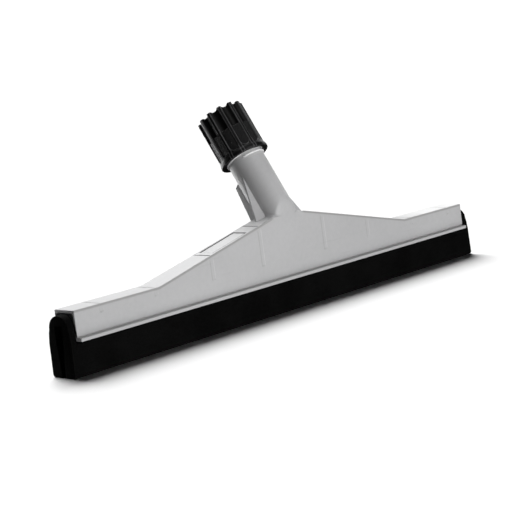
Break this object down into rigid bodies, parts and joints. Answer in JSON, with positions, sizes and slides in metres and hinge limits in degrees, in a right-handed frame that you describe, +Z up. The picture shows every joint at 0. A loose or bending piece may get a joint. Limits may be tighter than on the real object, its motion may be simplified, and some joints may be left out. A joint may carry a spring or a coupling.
{
  "type": "floor squeegee head",
  "caption": "Wide floor squeegee head: a grey moulded frame over a folded black rubber strip, with a tilted neck and a ribbed grip nut that clamps a round handle.",
  "frame": {"origin": "Middle of the footprint, on the floor that the two blade tips stand on.", "axes": "+X runs along the blade, with the bare label recess on the -X side. -Y is the front plate's side and +Y the side that the neck tilts to. +Z is up."},
  "size_m": [0.5666, 0.0987, 0.1972],
  "materials": {
    "grey_plastic": "light grey moulded plastic with a satin face",
    "moss_rubber": "black cellular rubber with a fine moulded skin",
    "batten_plastic": "plain extruded plastic",
    "screw_steel": "bright zinc coating",
    "collet_plastic": "smooth black plastic",
    "black_plastic": "black moulded plastic with a fine grain in the pockets"
  },
  "bodies": {
    "frame": {"frame": "grey_plastic", "rubber_strip": "moss_rubber", "core_batten": "batten_plastic", "batten_screws": "screw_steel"},
    "collet": {"collet": "collet_plastic"},
    "grip_nut": {"grip_nut": "black_plastic"}
  },
  "joints": [
    {"name": "collet_slide", "type": "slide", "parent": "frame", "child": "collet", "axis": [0, 0.5299, 0.848], "range_m": [-0.0031, 0.0081]},
    {"name": "nut_turn", "type": "hinge", "parent": "collet", "child": "grip_nut", "pos_m": [0, 0.00328, 0.14257], "axis": [0, 0.5299, 0.848], "range_deg": [-270, 720]}
  ],
  "couplings": [
    {"joint": "collet_slide", "follows": "nut_turn", "m_per_rad": 0.00063662}
  ]
}
